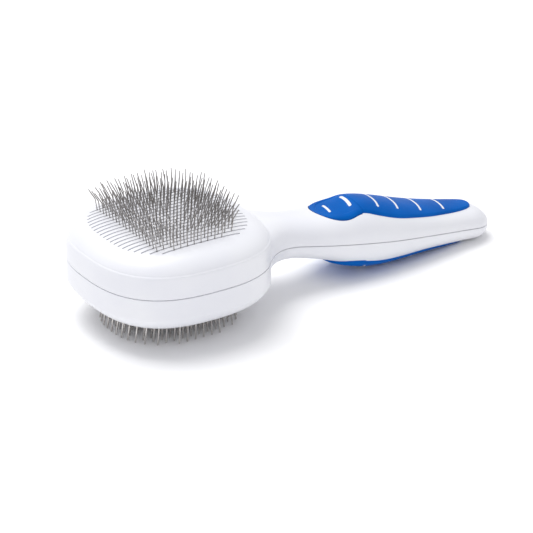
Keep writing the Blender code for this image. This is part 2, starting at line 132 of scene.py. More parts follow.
def capsule(half_length: float, half_width: float, sides: int,
            along: int = 2) -> tuple[np.ndarray, np.ndarray]:
    """Slot outline with round ends that runs along its first axis.

    Args:
        half_length: From the middle to an end.
        half_width: Half of the slot's width, also the ends' radius.
        sides: Points round the two ends, a multiple of two.
        along: Points on each straight side, its ends counted.

    Returns:
        The outline and, for each of its points, the nearest point of the slot's middle line.
    """
    turn = np.linspace(-math.pi / 2, math.pi / 2, sides // 2)
    end = np.stack([np.cos(turn), np.sin(turn)], axis=-1) * half_width
    run = half_length - half_width
    side = np.stack([np.linspace(run, -run, along)[1:-1], np.full(along - 2, half_width)], axis=-1)
    outline = np.concatenate([end + (run, 0.0), side, -end - (run, 0.0), -side])
    return outline, np.stack([np.clip(outline[:, 0], -run, run), np.zeros(len(outline))], axis=-1)


# ---- meshes
def ring_faces(rows: int, columns: int, poles: bool) -> tuple[np.ndarray, np.ndarray]:
    """Triangles of a stack of closed rings, and of the fans that close its two ends.

    Args:
        rows: Number of rings.
        columns: Points in each ring.
        poles: Whether two more points, after the rings' own, close the ends.

    Returns:
        The triangles as point numbers, and the number of points in the body.
    """
    row, column = np.arange(rows - 1)[:, None], np.arange(columns)[None, :]
    a = row * columns + column
    b = row * columns + (column + 1) % columns
    walls = [np.stack([a, b, b + columns], -1).reshape(-1, 3),
             np.stack([a, b + columns, a + columns], -1).reshape(-1, 3)]
    total = rows * columns
    if poles:
        i, j = np.arange(columns), (np.arange(columns) + 1) % columns
        last = total - columns
        walls.append(np.stack([j, i, np.full(columns, total)], -1))
        walls.append(np.stack([last + i, last + j, np.full(columns, total + 1)], -1))
        total += 2
    return np.concatenate(walls), total


def to_object(name: str, points: np.ndarray, triangles: np.ndarray, weld: bool = False) -> bpy.types.Object:
    """Put arrays into a mesh object at the origin, with its faces pointing outwards.

    Args:
        name: The object's name.
        points: (n, 3) places.
        triangles: (k, 3) point numbers.
        weld: Whether points that lie together are joined first.

    Returns:
        The new object.
    """
    mesh = bpy.data.meshes.new(name)
    mesh.vertices.add(len(points))
    mesh.vertices.foreach_set("co", np.ascontiguousarray(points, np.float32).ravel())
    mesh.loops.add(triangles.size)
    mesh.loops.foreach_set("vertex_index", triangles.astype(np.int32).ravel())
    mesh.polygons.add(len(triangles))
    mesh.polygons.foreach_set("loop_start", np.arange(0, triangles.size, 3, dtype=np.int32))
    mesh.update(calc_edges=True)
    mesh.validate()
    shape = bmesh.new()
    shape.from_mesh(mesh)
    if weld:
        bmesh.ops.remove_doubles(shape, verts=shape.verts, dist=WELD)
        bmesh.ops.dissolve_degenerate(shape, edges=shape.edges, dist=WELD)
    bmesh.ops.recalc_face_normals(shape, faces=shape.faces)
    shape.to_mesh(mesh)
    shape.free()
    item = bpy.data.objects.new(name, mesh)
    bpy.context.scene.collection.objects.link(item)
    return item


def ring_bodies(name: str, rings: np.ndarray, ends: np.ndarray) -> bpy.types.Object:
    """One object of one or many closed bodies, each a stack of rings closed by a point at each end.

    Args:
        name: The object's name.
        rings: (bodies, rows, columns, 3) places.
        ends: (bodies, 2, 3) places of the two closing points.

    Returns:
        The new object.
    """
    bodies, rows, columns, _ = rings.shape
    faces, total = ring_faces(rows, columns, True)
    points = np.concatenate([rings.reshape(bodies, -1, 3), ends], axis=1)
    triangles = faces[None] + (np.arange(bodies) * total)[:, None, None]
    return to_object(name, points.reshape(-1, 3), triangles.reshape(-1, 3))


def prism(name: str, outlines: np.ndarray, low: float, high: float) -> bpy.types.Object:
    """Upright prisms over (bodies, points, 2) outlines, from height low to height high."""
    outlines = outlines if outlines.ndim == 3 else outlines[None]
    flat = np.repeat(outlines[:, None], 2, axis=1)
    height = np.broadcast_to(np.array([low, high])[None, :, None, None], (*flat.shape[:3], 1))
    middle = outlines.mean(axis=1)[:, None].repeat(2, axis=1)
    top = np.broadcast_to(np.array([low, high])[None, :, None], (*middle.shape[:2], 1))
    return ring_bodies(name, np.concatenate([flat, height], -1), np.concatenate([middle, top], -1))


def cylinder(name: str, radius: float, start: Vector, end: Vector, sides: int = 40) -> bpy.types.Object:
    """Round bar between two points: circles across the line, closed at each end."""
    start, end = np.array(start, float), np.array(end, float)
    along = (end - start) / np.linalg.norm(end - start)
    across = np.cross(along, (1.0, 0.0, 0.0))
    across /= np.linalg.norm(across)
    third = np.cross(along, across)
    turn = np.linspace(0.0, 2.0 * math.pi, sides, endpoint=False)[:, None]
    circle = radius * (np.cos(turn) * across + np.sin(turn) * third)
    return ring_bodies(name, np.stack([start + circle, end + circle])[None], np.stack([start, end])[None])


def combine(target: bpy.types.Object, tool: bpy.types.Object, operation: str) -> bpy.types.Object:
    """Cut, join or keep target by tool, bake the result into target and remove the tool.

    Args:
        target: The object that is changed.
        tool: The closed body that changes it.
        operation: DIFFERENCE, UNION or INTERSECT.

    Returns:
        The target.
    """
    modifier = target.modifiers.new(operation.title(), "BOOLEAN")
    modifier.operation = operation
    modifier.solver = "EXACT"
    modifier.object = tool
    bpy.context.view_layer.update()
    evaluated = target.evaluated_get(bpy.context.evaluated_depsgraph_get())
    mesh = bpy.data.meshes.new_from_object(evaluated)
    target.modifiers.clear()
    shape = bmesh.new()
    shape.from_mesh(mesh)
    bmesh.ops.remove_doubles(shape, verts=shape.verts, dist=WELD)
    bmesh.ops.dissolve_degenerate(shape, edges=shape.edges, dist=WELD)
    shape.to_mesh(mesh)
    shape.free()
    old = target.data
    target.data = mesh
    bpy.data.meshes.remove(old)
    tool_mesh = tool.data
    bpy.data.objects.remove(tool)
    bpy.data.meshes.remove(tool_mesh)
    return target


# ---- finishes
def linear(colour: str) -> tuple[float, float, float, float]:
    """Linear red, green, blue and alpha of an sRGB colour written as #RRGGBB."""
    parts = np.array([int(colour[i:i + 2], 16) for i in (1, 3, 5)]) / 255.0
    straight = np.where(parts <= 0.04045, parts / 12.92, ((parts + 0.055) / 1.055) ** 2.4)
    return (*straight.tolist(), 1.0)


def add_node(tree: bpy.types.NodeTree, kind: str, settings: dict, links: dict) -> bpy.types.Node:
    """Add one node with its settings and links.

    Args:
        tree: The material's tree.
        kind: The node's type name.
        settings: Attributes by name, and socket values by "in:" and the socket's name or number.
        links: Output sockets by the name or number of the input they feed.

    Returns:
        The new node.
    """
    node = tree.nodes.new(kind)
    for key, value in settings.items():
        if key.startswith("in:"):
            socket = key[3:]
            node.inputs[int(socket) if socket.isdigit() else socket].default_value = value
        else:
            setattr(node, key, value)
    for key, output in links.items():
        tree.links.new(output, node.inputs[key])
    return node


def shade_ramp(tree: bpy.types.NodeTree, factor: bpy.types.NodeSocket, low: str, high: str,
               start: float = 0.3, end: float = 0.7) -> bpy.types.NodeSocket:
    """Colours from low to high as factor goes from start to end; returns the colour socket."""
    ramp = add_node(tree, "ShaderNodeValToRGB", {}, {"Fac": factor})
    first, last = ramp.color_ramp.elements
    first.position, first.color = start, linear(low)
    last.position, last.color = end, linear(high)
    return ramp.outputs["Color"]


@dataclass(frozen=True)
class Finish:
    """A surface finish: a base material with one shader whose grain is drawn in real millimetres."""

    name: str
    colour: str
    shade: str
    roughness: float
    rough_spread: float
    grain: float
    relief: float
    drift: float
    metallic: float = 0.0
    coat: float = 0.0
    sheen: float = 0.0
    stretch: tuple[float, float, float] = (1.0, 1.0, 1.0)
    specular: float = 0.5

    def material(self) -> bpy.types.Material:
        """Build the finish once and return its material.

        Returns:
            A material whose colour drifts over `drift` metres between shade and colour, and whose
            roughness and relief follow a grain of `grain` metres.
        """
        found = bpy.data.materials.get(self.name)
        if found:
            return found
        material = bpy.data.materials.new(self.name)
        material.use_nodes = True
        tree = material.node_tree
        shader = tree.nodes["Principled BSDF"]
        shader.inputs["Metallic"].default_value = self.metallic
        shader.inputs["Coat Weight"].default_value = self.coat
        shader.inputs["Sheen Weight"].default_value = self.sheen
        shader.inputs["Specular IOR Level"].default_value = self.specular
        place = add_node(tree, "ShaderNodeTexCoord", {}, {}).outputs["Object"]
        drawn = add_node(tree, "ShaderNodeMapping", {"in:Scale": self.stretch}, {"Vector": place})
        flow = add_node(tree, "ShaderNodeTexNoise", {"in:Scale": 1.0 / self.drift, "in:Detail": 2.0},
                        {"Vector": place})
        grain = add_node(tree, "ShaderNodeTexNoise",
                         {"in:Scale": 1.0 / self.grain, "in:Detail": 3.0, "in:Roughness": 0.6},
                         {"Vector": drawn.outputs["Vector"]})
        colour = shade_ramp(tree, flow.outputs["Fac"], self.shade, self.colour)
        tree.links.new(colour, shader.inputs["Base Color"])
        spread = add_node(tree, "ShaderNodeMapRange", {"in:3": self.roughness - self.rough_spread,
                                                       "in:4": self.roughness + self.rough_spread},
                          {"Value": grain.outputs["Fac"]})
        tree.links.new(spread.outputs["Result"], shader.inputs["Roughness"])
        bump = add_node(tree, "ShaderNodeBump", {"in:Strength": 0.35, "in:Distance": self.relief},
                        {"Height": grain.outputs["Fac"]})
        tree.links.new(bump.outputs["Normal"], shader.inputs["Normal"])
        return material


# White ABS, injection moulded in a lightly polished tool: satin, with a faint flow drift.
WHITE_ABS = Finish("white_abs_moulded", "#EDEEF1", "#E8E9EE", 0.36, 0.05, 0.9 * MM, 0.010 * MM, 28 * MM,
                   coat=0.06)
# Blue thermoplastic rubber overmould: matt, with a fine spark-eroded grain and hardly any mirror light.
BLUE_RUBBER = Finish("blue_tpe_overmould", "#0060B8", "#0056AA", 0.42, 0.08, 0.7 * MM, 0.02 * MM, 16 * MM,
                     specular=0.07)
# Drawn stainless wire: mid-grey reflections with drawing lines along the wire.
DRAWN_WIRE = Finish("stainless_wire_drawn", "#B2AFAD", "#918C88", 0.34, 0.08, 0.5 * MM, 0.004 * MM, 6 * MM,
                    metallic=1.0, stretch=(1.0, 1.0, 0.15))
# Polished steel pins: brighter and smoother than the wire, from tumbling.
POLISHED_PIN = Finish("steel_pin_tumbled", "#D2CFCB", "#BCB8B4", 0.24, 0.05, 0.6 * MM, 0.003 * MM, 5 * MM,
                      metallic=1.0)
# Grey acetal of the sliding frames and levers, slightly waxy so it slides well; its dark grey is painted shade
# that keeps the slits dark.
ACETAL_AND_SLIT_SHADE = Finish("acetal_carrier_and_slit_shade", "#5E6168", "#52555C", 0.42, 0.05, 0.8 * MM, 0.01 * MM, 14 * MM)
# Zinc-plated steel of axles, springs and screws: pale, faintly mottled.
ZINC_STEEL = Finish("zinc_plated_steel", "#C6C7C9", "#AEB1B8", 0.30, 0.08, 0.5 * MM, 0.006 * MM, 3 * MM,
                    metallic=1.0)


def dress(item: bpy.types.Object, finish: Finish, angle: float = 35.0) -> bpy.types.Object:
    """Give a new piece its finish and smooth its round stretches.

    Args:
        item: The piece.
        finish: Its finish.
        angle: Edges sharper than this many degrees stay crisp.

    Returns:
        The piece.
    """
    item.data.materials.clear()
    item.data.materials.append(finish.material())
    item.data.shade_smooth()
    item.data.set_sharp_from_angle(angle=math.radians(angle))
    return item


def place(item: bpy.types.Object, body: str, slot: str, *nodes: str) -> bpy.types.Object:
    """Let a piece ride on a body and hide the nodes that it stands for; the slot name is not used."""
    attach(item, body)
    if nodes:
        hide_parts(*nodes)
    LOG.info("%s rides %s: %d faces", item.name, body, len(item.data.polygons))
    return item


# ---- head and handle forms
@dataclass(frozen=True)
class Head:
    """Superellipse puck whose sides stand upright and whose faces are gently domed."""

    frame_half: float = 45.0 * MM
    shift: float = 0.5 * MM
    half_a: float = 46.8 * MM
    half_b: float = 46.5 * MM
    power: float = 2.6
    face: float = 18.6 * MM
    wall_top: float = 10.7 * MM
    crease_share: float = 0.985
    crease_rise: float = 1.4 * MM
    dome_rise: float = 8.8 * MM
    dome_power: float = 7.0
    dome_ease: float = 0.8
    sides: int = 240
    wall: float = 2.2 * MM
    groove: float = 0.35 * MM

    @property
    def x(self) -> float:
        """Place of the head's centre along X, from the shell's own front end."""
        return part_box("upper_shell")[0].x + self.frame_half

    @property
    def plane(self) -> float:
        """Height of the parting plane, one face's height under the shell's top."""
        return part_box("upper_shell")[1].z - self.face

    def outer_profile(self) -> tuple[np.ndarray, np.ndarray]:
        """Share of the outline and height, from the parting groove to near the middle of the face.

        Returns:
            A straight wall with a shallow V at the parting plane, a quarter-turn crease, and a
            dome z = crease + rise (1 - (s / s0)^p)^q.
        """
        low = np.array([0.15, 0.35, 0.7, 3.0, 6.0, 9.0]) * MM
        depth = 0.9 * np.maximum(0.0, self.groove - low)
        turn = np.radians(np.linspace(0.0, 62.0, 6))
        crease = 1.0 - (1.0 - self.crease_share) * (1.0 - np.cos(turn)) / (1.0 - np.cos(turn[-1]))
        climb = self.wall_top + self.crease_rise * np.sin(turn) / np.sin(turn[-1])
        inward = self.crease_share * (1.0 - np.linspace(0.02, 0.97, 46) ** 1.5)
        dome = (1.0 - (inward / self.crease_share) ** self.dome_power) ** self.dome_ease
        share = np.concatenate([1.0 - depth / self.half_a, crease, inward])
        height = np.concatenate([low, climb, self.wall_top + self.crease_rise + self.dome_rise * dome])
        return share, height

    def inner_profile(self) -> tuple[np.ndarray, np.ndarray]:
        """The cavity's share of the outline and height: a wall, a slope and a shallow crown."""
        share = np.array([0.951, 0.951, 0.925, 0.87, 0.815, 0.79, 0.6, 0.4, 0.2, 0.05])
        height = np.array([0.15, 10.2, 11.8, 13.9, 16.0, 16.6, 17.8, 18.4, 18.7, 18.75]) * MM
        return share, height

    def solid(self, name: str, profile: tuple[np.ndarray, np.ndarray]) -> bpy.types.Object:
        """Closed puck: the outline scaled by each share at each height, mirrored below the plane."""
        share, height = profile
        share = np.concatenate([share[::-1], share])
        height = np.concatenate([-height[::-1], height])
        outline = superellipse(self.half_a, self.half_b, self.power, self.sides)
        flat = share[:, None, None] * outline[None] + (self.x + self.shift, 0.0)
        rise = np.broadcast_to((self.plane + height)[:, None, None], (*flat.shape[:2], 1))
        ends = np.array([[self.x, 0.0, self.plane + height[0]], [self.x, 0.0, self.plane + height[-1]]])
        return ring_bodies(name, np.concatenate([flat, rise], -1)[None], ends[None])


@dataclass(frozen=True)
class Handle:
    """Drooping handle: superellipse sections along a bent axis, flared where it meets the head."""

    head: Head
    # place along X, half-width, height over and under the axis, axis height, in millimetres
    stations: tuple[tuple[float, ...], ...] = (
        (30, 14.0, 10.8, 10.8, 0.0), (45, 14.2, 11.6, 10.2, -1.0), (60, 13.8, 12.2, 9.4, -4.3),
        (75, 15.0, 12.6, 10.0, -7.3), (90, 16.8, 14.0, 12.4, -9.8), (105, 18.3, 16.8, 16.0, -12.0),
        (120, 18.7, 15.9, 15.7, -14.3), (140, 17.2, 12.2, 12.2, -17.4), (160, 14.8, 9.8, 9.8, -20.6),
        (178, 13.0, 9.0, 8.6, -23.4), (190, 13.0, 9.0, 8.4, -25.2))
    power: float = 2.4
    neck_power: float = 3.0
    flare: float = 16.5 * MM
    flare_power: float = 1.9
    flare_start: float = 40.6 * MM
    flare_end: float = 70.0 * MM
    tail_start: float = 175.5 * MM
    tail_end: float = 188.6 * MM
    cavity_end: float = 187.0 * MM

    def column(self, index: int, x: np.ndarray) -> np.ndarray:
        """One column of the stations at x, along a natural spline."""
        table = np.array(self.stations) * MM
        return natural_spline(table[:, 0], table[:, index], x)

    def axis(self, x: np.ndarray) -> np.ndarray:
        """Height of the handle's axis at x from the head's centre."""
        return self.head.plane + np.where(x > self.stations[0][0] * MM, self.column(4, x), 0.0)

    def section_power(self, x: np.ndarray) -> np.ndarray:
        """Squareness of the section, from boxy at the neck to rounder behind it."""
        return self.neck_power + (self.power - self.neck_power) * smoothstep(45 * MM, 72 * MM, x)

    def skin(self, side: Side, x: np.ndarray, y: np.ndarray) -> np.ndarray:
        """Distance of one side's skin from the axis: h (1 - |y/w|^p)^(1/p)."""
        power = self.section_power(x)
        across = np.clip(np.abs(y) / self.column(1, x), 0.0, 0.999)
        height = self.column(2 if side is Side.UPPER else 3, x)
        return height * (1.0 - across ** power) ** (1.0 / power)

    def solid(self, name: str, offset: float, end: float, flared: bool) -> bpy.types.Object:
        """Closed handle, grown by offset, with a round tail and an optional flare at the neck.

        Args:
            name: The object's name.
            offset: Growth of every section.
            end: Where the tail closes.
            flared: Whether the neck opens in an arc that meets the head's side.

        Returns:
            The handle's body.
        """
        neck = self.flare_start + (self.flare_end - self.flare_start) * np.linspace(0.0, 1.0, 30) ** 1.2
        along = np.linspace(self.flare_end, self.tail_start, 70)[1:]
        tail = self.tail_start + (end - self.tail_start) * np.sin(np.radians(np.linspace(6, 87, 15)))
        x = np.concatenate([[30 * MM, 35 * MM], neck, along, tail])
        past = np.maximum(0.0, x - self.tail_start) / (end - self.tail_start)
        shrink = np.sqrt(np.maximum(0.0, 1.0 - past ** 2))
        reach = (self.flare_end - np.maximum(x, self.flare_start)) / (self.flare_end - self.flare_start)
        flare = self.flare * np.maximum(0.0, reach) ** self.flare_power if flared else 0.0
        half_w = (self.column(1, x) + offset) * shrink + flare
        above = (self.column(2, x) + offset) * shrink
        below = (self.column(3, x) + offset) * shrink
        power = self.section_power(x)[:, None]
        low = np.arcsin(np.minimum(0.5, np.array([0.15, 0.35, 0.7]) * MM / above[:, None]) ** (power / 2.0))
        high = low[:, -1:] + (math.pi / 2 - low[:, -1:]) * np.linspace(0.0, 1.0, 15)[1:]
        quarter = np.concatenate([low, high], axis=1)
        turn = np.concatenate([quarter, math.pi - quarter[:, -2::-1], math.pi + quarter,
                               2.0 * math.pi - quarter[:, -2::-1]], axis=1)
        cos, sin = np.cos(turn), np.sin(turn)
        y = half_w[:, None] * np.sign(cos) * np.abs(cos) ** (2.0 / power)
        half_h = np.where(sin > 0.0, above[:, None], below[:, None])
        z = half_h * np.sign(sin) * np.abs(sin) ** (2.0 / power)
        if flared:
            y -= np.sign(y) * 0.9 * np.maximum(0.0, self.head.groove - np.abs(z))
        places = np.broadcast_to(self.head.x + x[:, None], y.shape)
        rings = np.stack([places, y, self.axis(x)[:, None] + z], -1)
        tip = [self.head.x + end, 0.0, float(self.axis(np.array([end]))[0])]
        ends = np.array([rings[0].mean(axis=0), tip])
        return ring_bodies(name, rings[None], ends[None])


# ---- soft pads
@dataclass(frozen=True)
class Pads:
    """Soft pads on the handle: a thumb button with a rimmed flat, and a long grip behind it."""

    handle: Handle
    # outline of each face's pads, place along X and half-width in millimetres
    upper_outline: tuple[tuple[float, float], ...] = (
        (84.0, 0.0), (84.5, 3.2), (86.8, 7.2), (90.2, 10.2), (94.5, 12.1), (99.0, 12.7),
        (103.5, 12.1), (107.5, 11.8), (112.0, 12.8), (119.0, 14.0), (128.0, 14.2), (137.0, 13.2),
        (146.0, 11.9), (156.0, 10.1), (166.0, 8.1), (173.0, 6.2), (177.5, 3.6), (178.8, 0.0))
    lower_outline: tuple[tuple[float, float], ...] = (
        (88.0, 0.0), (88.8, 4.0), (91.2, 8.4), (95.2, 12.0), (100.0, 14.2), (106.0, 15.2), (113.0, 15.2),
        (124.0, 14.4), (134.0, 13.2), (145.0, 11.7), (156.0, 9.5), (166.0, 7.4), (172.0, 5.0), (174.8, 0.0))
    # lift of the thumb flat's middle over the axis, and how far its sides fall below that
    flat_points: tuple[tuple[float, float, float], ...] = (
        (80.0, 12.4, 0.1), (84.0, 12.6, 0.2), (90.0, 13.2, 0.7), (96.0, 14.6, 1.6), (102.0, 16.3, 2.3),
        (108.0, 17.6, 2.6), (112.0, 18.0, 2.6))
    spine_front: float = 92.0 * MM
    spine_rear: float = 169.0 * MM
    thickness: float = 1.15 * MM
    grip_edge: float = 0.9 * MM
    flat_edge: float = 2.2 * MM
    rim: float = 0.35 * MM
    split: float = 106.8 * MM
    gap: float = 0.14 * MM
    sunk: float = 0.25 * MM
    button_depth: float = 1.2 * MM
    slant: float = 0.12
    bow: float = 12.0
    # slots: place along X, half-length and half-width in millimetres
    upper_button_slots: tuple[tuple[float, float, float], ...] = ((92.8, 4.4, 0.75), (104.2, 5.9, 0.95))
    lower_button_slots: tuple[tuple[float, float, float], ...] = ((96.0, 5.0, 0.75),)
    upper_grip_slots: tuple[tuple[float, float, float], ...] = (
        (119.6, 9.6, 0.65), (131.4, 9.8, 0.65), (145.6, 9.2, 0.65), (160.4, 7.2, 0.65))
    lower_grip_slots: tuple[tuple[float, float, float], ...] = (
        (110.8, 13.8, 0.65), (126.0, 13.0, 0.65), (141.0, 9.4, 0.65), (156.0, 7.2, 0.65))

    def outline(self, side: Side, grow: float = 0.0) -> np.ndarray:
        """Closed outline from the front tip round by the +Y side, a spline through the points.

        Args:
            side: The face of the brush it is on.
            grow: Distance that the outline is moved outwards.

        Returns:
            (points, 2) places from the head's centre, symmetric about the middle line.
        """
        half = np.array(self.upper_outline if side is Side.UPPER else self.lower_outline) * MM
        loop = np.concatenate([half, half[-2:0:-1] * (1.0, -1.0)])
        wrapped = np.concatenate([loop[-5:], loop, loop[:5]])
        knots = np.concatenate([[0.0], np.cumsum(np.linalg.norm(np.diff(wrapped, axis=0), axis=1) ** 0.5)])
        where = np.linspace(knots[5], knots[5 + len(half) - 1], 150)
        line = np.stack([natural_spline(knots, wrapped[:, i], where) for i in (0, 1)], -1)
        line[0, 1] = line[-1, 1] = 0.0
        ring = np.concatenate([line, line[-2:0:-1] * (1.0, -1.0)])
        tangent = np.roll(ring, -1, axis=0) - np.roll(ring, 1, axis=0)
        normal = np.stack([-tangent[:, 1], tangent[:, 0]], -1)
        return ring + grow * normal / np.linalg.norm(normal, axis=1, keepdims=True)

    def top(self, side: Side, x: np.ndarray, y: np.ndarray, inset: np.ndarray) -> np.ndarray:
        """Lift of the pads' face over the axis at a distance inset from the edge.

        Args:
            side: The face of the brush.
            x: Places from the head's centre.
            y: Places across.
            inset: Distances from the pads' edge.

        Returns:
            The skin plus the pad's thickness behind the thumb, and in front of it a shallow crown
            with a raised rim; both fall to the skin at the edge as a quarter round.
        """
        skin = self.handle.skin(side, x, y)
        flats = np.array(self.flat_points) * MM
        crown = natural_spline(flats[:, 0], flats[:, 2], x) * (y / (12.0 * MM)) ** 2
        flat = natural_spline(flats[:, 0], flats[:, 1], x) - crown
        share = 1.0 - smoothstep(100.0 * MM, 109.0 * MM, x)
        edge = self.grip_edge + (self.flat_edge - self.grip_edge) * share
        rim = self.rim * (1.0 - smoothstep(edge + 0.7 * MM, edge + 1.2 * MM, inset))
        target = skin + self.thickness + share * (flat + rim - skin - self.thickness)
        rounded = np.sqrt(1.0 - (1.0 - np.clip(inset / edge, 0.0, 1.0)) ** 2)
        return skin + (target - skin) * rounded

    def form(self, name: str, side: Side, outline: np.ndarray, spine: np.ndarray, insets: np.ndarray,
             lifts: tuple, floor: float) -> bpy.types.Object:
        """Closed body over an outline: rings run in from the edge to a middle line, above and below.

        Args:
            name: The object's name.
            side: The face of the brush it is on.
            outline: (points, 2) edge.
            spine: The middle line's point for each edge point.
            insets: Distances from the edge of the first rings.
            lifts: The top's and the bottom's lift over the axis, functions of x, y and inset.
            floor: No point lies under this height.

        Returns:
            The new object.
        """
        run = np.linalg.norm(spine - outline, axis=1)
        last = insets[-1]
        steps = np.concatenate([np.repeat(insets[:, None], len(outline), 1),
                                last + (run - last)[None] * np.linspace(0.0, 1.0, 10)[1:, None]])
        flat = outline[None] + (spine - outline)[None] * (steps / run)[..., None]
        layers = []
        for lift in lifts:
            x, y = flat[..., 0], flat[..., 1]
            height = self.handle.axis(x) + side.value * lift(side, x, y, steps)
            layers.append(np.stack([x + self.handle.head.x, y, np.maximum(height, floor)], -1))
        rings = np.concatenate([layers[1][::-1], layers[0]])
        faces, _ = ring_faces(len(rings), len(outline), False)
        return to_object(name, rings.reshape(-1, 3), faces, weld=True)

    def whole(self, name: str, side: Side, depth: float, floor: float) -> bpy.types.Object:
        """The pads as one body before they are parted, `depth` deep under the skin."""
        ring = self.outline(side)
        spine = np.stack([np.clip(ring[:, 0], self.spine_front, self.spine_rear), np.zeros(len(ring))], -1)
        insets = np.array([0.0, 0.06, 0.16, 0.3, 0.5, 0.75, 1.1, 1.5,
                           1.9, 2.2, 2.6, 2.9, 3.1, 3.3, 3.5, 4.0]) * MM
        lifts = (self.top, lambda side, x, y, inset: self.handle.skin(side, x, y) - depth)
        return self.form(name, side, ring, spine, insets, lifts, floor)

    def slot_outline(self, slot: tuple[float, float, float], grow: float) -> tuple[np.ndarray, np.ndarray]:
        """Edge and middle line of a slot that lies across the handle, slanted and bowed to the tail.

        Args:
            slot: Place along X, half-length and half-width in millimetres.
            grow: Distance that the edge is moved outwards.

        Returns:
            The edge and, for each of its points, a point of the middle line, from the head's centre.
        """
        lines = []
        for line in capsule(slot[1] * MM + grow, slot[2] * MM + grow, 24, 20):
            y = line[:, 0]
            lines.append(np.stack([slot[0] * MM + line[:, 1] + self.slant * y - self.bow * y ** 2, y], -1))
        return lines[0], lines[1]

    def cut_slots(self, pad: bpy.types.Object, side: Side, slots: tuple) -> None:
        """Cut the slots through a pad."""
        for slot in slots:
            edge, _ = self.slot_outline(slot, 0.0)
            place_x = np.array([slot[0] * MM])
            middle = float(self.handle.axis(place_x)[0])
            low, high = sorted((middle + side.value * 4 * MM, middle + side.value * 30 * MM))
            combine(pad, prism("slot_tool", edge + (self.handle.head.x, 0.0), low, high), "DIFFERENCE")

    def ribs(self, name: str, side: Side, slots: tuple, rise: float, depth: float) -> bpy.types.Object:
        """White ribs that fill the slots from below and end `rise` over the pad's face."""
        pieces = []
        for index, slot in enumerate(slots):
            edge, middle = self.slot_outline(slot, -0.02 * MM)
            inner = lambda side, x, y: self.top(side, x, y, np.full(x.shape, 4.0 * MM))
            top = lambda side, x, y, inset: (inner(side, x, y) + rise
                                             - 0.15 * MM * (1.0 - np.clip(inset / (0.2 * MM), 0.0, 1.0)) ** 2)
            bottom = lambda side, x, y, inset: inner(side, x, y) - depth
            pieces.append(self.form(f"{name}_{index}", side, edge, middle, np.array([0.0, 0.07, 0.2]) * MM,
                                    (top, bottom), -1.0))
        return join(name, pieces)

    def part(self, pad: bpy.types.Object, front: bool) -> bpy.types.Object:
        """Keep the button in front of the split, or the grip behind it."""
        edge = self.handle.head.x + self.split + (-0.5 if front else 0.5) * self.gap
        far = self.handle.head.x + (60 * MM if front else 200 * MM)
        low, high = sorted((edge, far))
        box = np.array([[low, -30 * MM], [high, -30 * MM], [high, 30 * MM], [low, 30 * MM]])
        return combine(pad, prism("split_tool", box, -60 * MM, 90 * MM), "INTERSECT")

    def build(self) -> None:
        """Make both pads and their ribs on both faces of the handle."""
        faces = ((Side.UPPER, "upper", self.upper_button_slots, self.upper_grip_slots),
                 (Side.LOWER, "lower", self.lower_button_slots, self.lower_grip_slots))
        for side, word, button_slots, grip_slots in faces:
            button = self.part(self.whole(f"{word}_thumb_button", side, self.button_depth, -1.0), True)
            self.cut_slots(button, side, button_slots)
            place(dress(button, BLUE_RUBBER), f"{word}_lever", "blue_grip", f"{word}_button_pad")
            ribs = self.ribs(f"{word}_button_ribs", side, button_slots, 0.04 * MM, 2.0 * MM)
            place(dress(ribs, WHITE_ABS), f"{word}_lever", "white_shell")
            grip = self.part(self.whole(f"{word}_soft_grip", side, self.sunk, 0.0), False)
            self.cut_slots(grip, side, grip_slots)
            place(dress(grip, BLUE_RUBBER), "root", "blue_grip", f"{word}_grip")
            ribs = self.ribs(f"{word}_grip_ribs", side, grip_slots, 0.04 * MM, 1.6 * MM)
            place(dress(ribs, WHITE_ABS), "root", "white_shell")


def join(name: str, pieces: list[bpy.types.Object]) -> bpy.types.Object:
    """One object with the meshes of several, whose objects go."""
    shape = bmesh.new()
    for piece in pieces:
        shape.from_mesh(piece.data)
        mesh = piece.data
        bpy.data.objects.remove(piece)
        bpy.data.meshes.remove(mesh)
    mesh = bpy.data.meshes.new(name)
    shape.to_mesh(mesh)
    shape.free()
    item = bpy.data.objects.new(name, mesh)
    bpy.context.scene.collection.objects.link(item)
    return item


# ---- shells
@dataclass(frozen=True)
class Slits:
    """Rows of slits in a face: a superellipse field, one slit for each pin row."""

    rows: int
    pitch: float
    half_width: float
    half_a: float = 36.3 * MM
    half_b: float = 34.8 * MM
    power: float = 2.8

    def places(self) -> np.ndarray:
        """Place along Y of each row."""
        return (np.arange(self.rows) - (self.rows - 1) / 2.0) * self.pitch

    def reach(self, y: np.ndarray) -> np.ndarray:
        """Half-length of a slit at y."""
        return chord(self.half_a, self.half_b, self.power, y)

    def outlines(self, head_x: float) -> np.ndarray:
        """(rows, points, 2) outlines of the slits, straight runs with round ends."""
        ends, _ = capsule(self.half_width, self.half_width * 0.999, 16)
        y = self.places()
        shift = np.sign(ends[:, 0])[None] * (self.reach(y)[:, None] - self.half_width)
        return np.stack([head_x + ends[None, :, 0] + shift, y[:, None] + ends[None, :, 1]], -1)


FINE_SLITS = Slits(21, 3.15 * MM, 0.44 * MM)
COARSE_SLITS = Slits(15, 4.2 * MM, 0.62 * MM, half_a=34.8 * MM)


